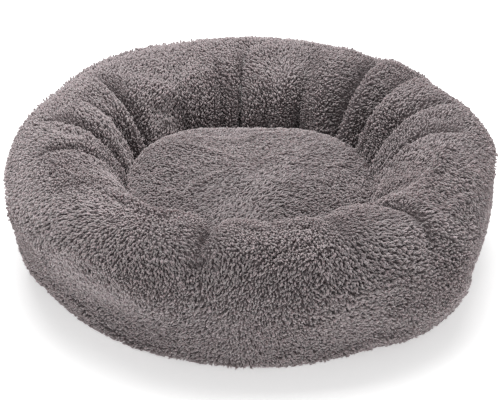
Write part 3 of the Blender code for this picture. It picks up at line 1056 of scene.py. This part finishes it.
def crown_grid(cushion, rows, columns, inset):
    """The cushion's top as a grid from its middle out to its seam.

    The height is a superellipse, (1 - share ** power) ** (1 / 2.6), that falls towards the front,
    with soft lumps in the middle and small cosine puckers beside the seam. Between its back and
    its sides the top is fuller and spreads wider, and at both sides it spreads by 4 mm.
    """
    u = (np.arange(rows) / rows)[:, None]
    share = np.sin(np.linspace(0, 1, columns) * np.pi / 2)[None, :]
    turn = TURN * u
    corner = 1.3 * np.sin(2 * turn) ** 2 * np.abs(np.cos(turn)) * np.clip(0.7 + np.sin(turn), 0, 1)
    wide = (cushion.corners * corner + 4 * MM * np.cos(turn) ** 2) * share**2 * (1 - share**24) ** 0.5
    radius = (R_CUSHION - inset * (1 - share**12)) * share + wide
    rise = (1 - share ** (cushion.crown_power + 1.6 * corner)) ** (1 / 2.6)
    rng = np.random.default_rng(11)
    soft = 0.7 * MM * waves(share * np.cos(turn) / 2, share * np.sin(turn) / 2, rng, 3, 3, 9)
    pucker = 0.9 * MM * np.cos(TURN * cushion.puckers * u) * np.exp(-((1 - share) / 0.06))
    height = SEAM_TOP + (CROWN - SEAM_TOP - inset) * rise
    fall = cushion.slope * np.clip(0.15 - share * np.sin(turn), 0, 1) ** 1.4 * rise
    height = height + (soft * (1 - share**4) + pucker - fall) * (share < 1)
    return round_points(radius, turn, height)


def under_grid(rows, columns):
    """The cushion's underside as a grid: a flat disc whose edge curls up to the seam."""
    share = np.sin(np.linspace(0, 1, columns) * np.pi / 2)[None, :]
    depth = (SEAM_FOOT - CUSHION_FLOOR) * (1 - share**7.0) ** (1 / 3.0)
    turn = TURN * (np.arange(rows) / rows)[:, None]
    return round_points(R_CUSHION * share, turn, SEAM_FOOT - depth)


def cushion_mesh(name, top, under, values=None):
    """A closed form from two grids that go from the middle out to one seam.

    On the map the two sides lie flat beside each other, as two discs.
    """
    rows, columns = top.shape[:2]
    ring = np.concatenate([top[:, 1:], under[:, :0:-1]], 1)
    width = ring.shape[1]
    points = np.concatenate([ring.reshape(-1, 3), top[:1, 0], under[:1, 0]])
    quads = grid_faces(rows, width, True, False)
    a = np.arange(rows) * width
    b = np.roll(a, -1)
    pole = rows * width
    first = np.stack([b, a, np.full(rows, pole)], -1)
    last = np.stack([a + width - 1, b + width - 1, np.full(rows, pole + 1)], -1)
    corners = np.concatenate([quads.ravel(), first.ravel(), last.ravel()])
    counts = np.concatenate([np.full(len(quads), 4), np.full(2 * rows, 3)])
    flat = points[corners, :2] / (4.2 * R_CUSHION)
    below = np.tile(np.arange(width - 1) >= columns - 2, rows)
    side = np.repeat(np.concatenate([below, [False] * rows, [True] * rows]), counts)
    uv = flat * [1, 2] * 0.98 + np.where(side[:, None], [0.75, 0.5], [0.25, 0.5])
    return new_mesh(name, points, corners, counts, uv, values)


class PETBED_OT_cushion(bpy.types.Operator):
    """Make the loose cushion: its fleece top, its cloth underside and its fibre"""

    bl_idname = "petbed.make_cushion"
    bl_label = "Cushion"

    pressure = 1.5

    # The curls lie low on the top, and stand up where it falls to the front, where they are also painted
    # darker, as shade.
    lift = 0.52
    front_lift = 0.6
    front_shade = 0.5

    def execute(self, context):
        cushion, fleece = context.scene.petbed_cushion, context.scene.petbed_fleece
        trim = context.scene.petbed_trim
        rows, columns = 180, 44
        looks = fleece_material("cushion_fleece", fleece, 1.06)
        top = self.settled(crown_grid(cushion, rows, columns, PILE_DEPTH * cushion.pile_share))
        inner = top.copy()
        inner[..., :2] *= 1 - 2 * MM / R_CUSHION
        inner[..., 2] = np.maximum(inner[..., 2] - 2 * MM, SEAM_TOP)
        skin = cushion_mesh("cushion_skin", top, inner, SHADED_SKIN_LOOK)
        place("cushion_skin", skin, looks, "cushion", "cushion_top_cover")

        cloth = woven_material("cushion_cloth", tuple(trim.lining_colour), 0.9 * MM, 0.08 * MM)
        under = under_grid(rows, columns)
        inner = under.copy()
        inner[..., :2] *= 1 - 1 * MM / R_CUSHION
        inner[..., 2] = np.minimum(inner[..., 2] + 1 * MM, SEAM_FOOT)
        mesh = cushion_mesh("cushion_underside", inner, under)
        place("cushion_underside", mesh, cloth, "cushion", "cushion_base_cover")

        fibre = fibre_material("cushion_fibre_look")
        share = 1 - 6 * MM / R_CUSHION
        upper, lower = top * [share, share, 1], under * [share, share, 1]
        upper[..., 2] = np.maximum(upper[..., 2] - 3.5 * MM, SEAM_TOP)
        lower[..., 2] = np.minimum(lower[..., 2] + 2.5 * MM, SEAM_FOOT)
        mesh = cushion_mesh("cushion_fibre", upper, lower)
        place("cushion_fibre", mesh, fibre, "cushion", "cushion_filling")
        self.make_pile(cushion, fleece, top, looks)
        return {"FINISHED"}

    def settled(self, top):
        """The top after its stuffing has pressed it up between the puckers of the seam."""
        rows, columns = top.shape[:2]
        ring = top[:, 1:]
        low = ring[:, ::-1].copy()
        low[..., 2] = 2 * SEAM_TOP - low[..., 2]
        closed = np.concatenate([ring, low[:, 1:]], 1)
        held = np.ones(closed.shape[:2])
        share = np.linspace(0, 1, columns)[1:]
        held[:, : columns - 1] = np.clip((share - 0.9) / 0.05, 0, 1)
        rested = settle(closed, held, self.pressure)[:, : columns - 1]
        middle = np.broadcast_to(rested[:, :1].mean(0), (rows, 1, 3))
        return np.concatenate([middle, rested], 1)

    def make_pile(self, cushion, fleece, top, looks):
        """Stands shorter curls on the top, which lie roughly the same way all over it."""
        rng = np.random.default_rng(fleece.seed + 1)
        u, v = root_places(top, fleece.spacing * cushion.pile_share, rng, 0.02, 0.975)
        x, y = v * np.cos(TURN * u) / 3, v * np.sin(TURN * u) / 3
        lean = 0.6 * waves(x, y, rng, 5, 5.0, 12) + rng.normal(0, 0.6, len(u)) - TURN * u
        near = np.clip(-3.6 * y - 0.1, 0, 1)
        lift = self.lift + self.front_lift * near + 0.06 * waves(x, y, rng, 5, 5.0, 10)
        size = np.full(len(u), cushion.pile_share)
        spots = lock_spots(top, u, v, lean, lift, size, rng)
        # Painted shade: darker curls towards the front.
        spots["tone_and_shade"] *= 1 - self.front_shade * near
        mesh = lock_mesh("cushion_fleece", fleece, spots, rng)
        place("cushion_fleece", mesh, looks, "cushion")


class PETBED_OT_trim(bpy.types.Operator):
    """Dress the base, the bindings and the label"""

    bl_idname = "petbed.dress_trim"
    bl_label = "Base, bindings and label"

    def execute(self, context):
        trim = context.scene.petbed_trim
        lining = tuple(trim.lining_colour)
        dress(["base_cloth"], grip_material("base_grip_cloth", tuple(trim.base_colour)))
        dress(["base_lining"], woven_material("base_lining_cloth", lining, 0.9 * MM, 0.08 * MM))
        dress(["base_padding"], fibre_material("base_fibre"))
        binding = ribbed_material("seam_binding", (0.07, 0.062, 0.066), 0.7 * MM)
        dress(["inner_seam_binding", "outer_seam_binding", "cushion_seam_binding"], binding)
        dress(["care_label"], ribbed_material("satin_label", (0.82, 0.82, 0.80), 0.5 * MM, 0.45))
        return {"FINISHED"}


def on_band(angle, s, n):
    """Points s up the zip's band and n out from it, at angles round the bed."""
    radius, height, lean, _, _ = zip_frame()
    r = radius + s * np.sin(lean) + n * np.cos(lean)
    return round_points(r, angle, height + s * np.cos(lean) - n * np.sin(lean))


def teeth_mesh(name, way, pitch):
    """One side of the zip's coil: loops of monofilament, one beside the other.

    The middle line of a loop goes from the tape to the head on the outside, turns round the head
    and goes back on the inside, and a small pentagon is carried along it.
    """
    radius, _, _, _, start = zip_frame()
    first, last = np.radians(start) + 3 * MM / radius, np.radians(180 - start) - 3 * MM / radius
    count = int((last - first) * radius / pitch)
    centre = np.linspace(first, last, count) + (0.25 if way > 0 else -0.25) * pitch / radius
    s = np.array([3.1, 1.7, 0.85, 0.55, 0.85, 1.7, 3.1]) * MM * way
    n = np.array([0.42, 0.52, 0.50, 0.0, -0.50, -0.52, -0.42]) * MM
    sway = np.array([-0.28, -0.16, -0.08, 0.0, 0.08, 0.16, 0.28]) * MM / radius
    path = on_band(centre[:, None] + sway[None, :], s[None, :], n[None, :])
    ahead = unit(np.gradient(path, axis=1))
    along = np.stack([-np.sin(centre), np.cos(centre), 0 * centre], -1)[:, None]
    across = unit(np.cross(ahead, along))
    other = np.cross(ahead, across)
    sides = 5
    turn = np.arange(sides) * TURN / sides
    thick = 0.36 * MM
    body = (
        path[:, :, None]
        + across[:, :, None] * (thick * np.cos(turn))[:, None]
        + other[:, :, None] * (thick * np.sin(turn))[:, None]
    )
    each = len(s) * sides
    quads = grid_faces(sides, len(s), True, False)
    side, step = np.divmod(quads, len(s))
    quads = (step * sides + side)[:, ::-1]
    caps = np.concatenate([np.arange(sides), each - 1 - np.arange(sides)])
    pattern = np.concatenate([quads.ravel(), caps])
    counts = np.concatenate([np.full(len(quads), 4), [sides, sides]])
    corners = pattern[None, :] + (np.arange(count) * each)[:, None]
    return new_mesh(name, body.reshape(-1, 3), corners.ravel(), np.tile(counts, count))


class PETBED_OT_zip(bpy.types.Operator):
    """Make the zip's teeth and dress its tapes, stops, slider and pull"""

    bl_idname = "petbed.make_zip"
    bl_label = "Zip"

    def execute(self, context):
        trim = context.scene.petbed_trim
        nylon = metal_material("zip_nylon", (0.05, 0.047, 0.05), 0.45, 0.0)
        for side, way in (("upper", 1), ("lower", -1)):
            mesh = teeth_mesh(f"zip_teeth_{side}", way, trim.tooth_pitch)
            place(f"zip_teeth_{side}", mesh, nylon, "bed", f"zip_coil_{side}")
        tape = ribbed_material("zip_tape_weave", (0.06, 0.056, 0.06), 0.6 * MM)
        dress(["zip_tape_upper", "zip_tape_lower"], tape)
        metal = metal_material("zip_nickel", (0.30, 0.295, 0.30), 0.33, 1.0)
        dress(["zip_top_stop_upper", "zip_top_stop_lower", "zip_end_stop"], metal)
        dress(["zip_slider_body", "zip_pull_tab"], metal)
        return {"FINISHED"}


class PETBED_OT_stage(bpy.types.Operator):
    """Make the floor, the light and the camera"""

    bl_idname = "petbed.make_stage"
    bl_label = "Stage"

    def execute(self, context):
        stage = context.scene.petbed_stage
        scene = context.scene
        corners = np.array([(-6, -6, 0), (6, -6, 0), (6, 6, 0), (-6, 6, 0)], float)
        floor = add_object("floor", new_mesh("floor", corners, np.arange(4), [4]))
        look = Nodes("floor_paint", 0.9)
        paint = tuple(stage.floor_colour)
        look.colour(look.mix(look.noise(3.0), shade(paint, 0.99), paint))
        look.shine({"Emission Color": (1, 1, 1, 1), "Emission Strength": stage.floor_glow})
        floor.data.materials.append(look.material)

        world = bpy.data.worlds.new("studio")
        world.use_nodes = True
        back = world.node_tree.nodes["Background"]
        back.inputs["Color"].default_value = (1, 1, 1, 1)
        back.inputs["Strength"].default_value = stage.fill_strength
        scene.world = world
        self.add_light("overhead", (-0.1, 0.55, 1.7), 1.4, stage.key_power)

        lens = bpy.data.cameras.new("camera")
        lens.sensor_width = 36
        lens.lens = lens.sensor_width * stage.distance / stage.view_width
        camera = add_object("camera", lens)
        back = Vector((0, -np.cos(stage.elevation), np.sin(stage.elevation)))
        camera.location = Vector((0, 0, stage.aim)) + back * stage.distance
        camera.rotation_euler = (-back).to_track_quat("-Z", "Y").to_euler()
        scene.camera = camera
        scene.view_settings.view_transform = "Standard"
        return {"FINISHED"}

    def add_light(self, name, spot, size, power):
        """An area light that shines at the middle of the floor."""
        light = bpy.data.lights.new(name, "AREA")
        light.size = size
        light.energy = power
        lamp = add_object(name, light)
        lamp.location = spot
        lamp.rotation_euler = (-Vector(spot)).to_track_quat("-Z", "Y").to_euler()


class PETBED_PT_panel(bpy.types.Panel):
    """Shows the bed's settings and the buttons that make its pieces, in the 3D view's sidebar"""

    bl_label = "Pet Bed"
    bl_idname = "PETBED_PT_panel"
    bl_space_type = "VIEW_3D"
    bl_region_type = "UI"
    bl_category = "Pet Bed"

    def draw(self, context):
        for name, title in SETTINGS:
            group = getattr(context.scene, name)
            box = self.layout.box()
            box.label(text=title)
            for label in group.__annotations__:
                box.prop(group, label)
        for operator in OPERATORS:
            self.layout.operator(operator.bl_idname)


OPERATORS = (
    PETBED_OT_stage,
    PETBED_OT_ring,
    PETBED_OT_stuffing,
    PETBED_OT_cushion,
    PETBED_OT_trim,
    PETBED_OT_zip,
)
GROUPS = (PetBedRing, PetBedFleece, PetBedCushion, PetBedTrim, PetBedStage)
SETTINGS = (
    ("petbed_ring", "Ring"),
    ("petbed_fleece", "Fleece"),
    ("petbed_cushion", "Cushion"),
    ("petbed_trim", "Trim"),
    ("petbed_stage", "Stage"),
)
CLASSES = (*GROUPS, *OPERATORS, PETBED_PT_panel)


def register():
    for made in CLASSES:
        bpy.utils.register_class(made)
    for (name, _), group in zip(SETTINGS, GROUPS, strict=True):
        setattr(bpy.types.Scene, name, PointerProperty(type=group))


def unregister():
    for name, _ in SETTINGS:
        delattr(bpy.types.Scene, name)
    for made in reversed(CLASSES):
        bpy.utils.unregister_class(made)


def main():
    register()
    bpy.ops.petbed.make_stage()
    bpy.ops.petbed.make_ring()
    bpy.ops.petbed.make_stuffing()
    bpy.ops.petbed.make_cushion()
    bpy.ops.petbed.dress_trim()
    bpy.ops.petbed.make_zip()


if __name__ == "__main__":
    main()
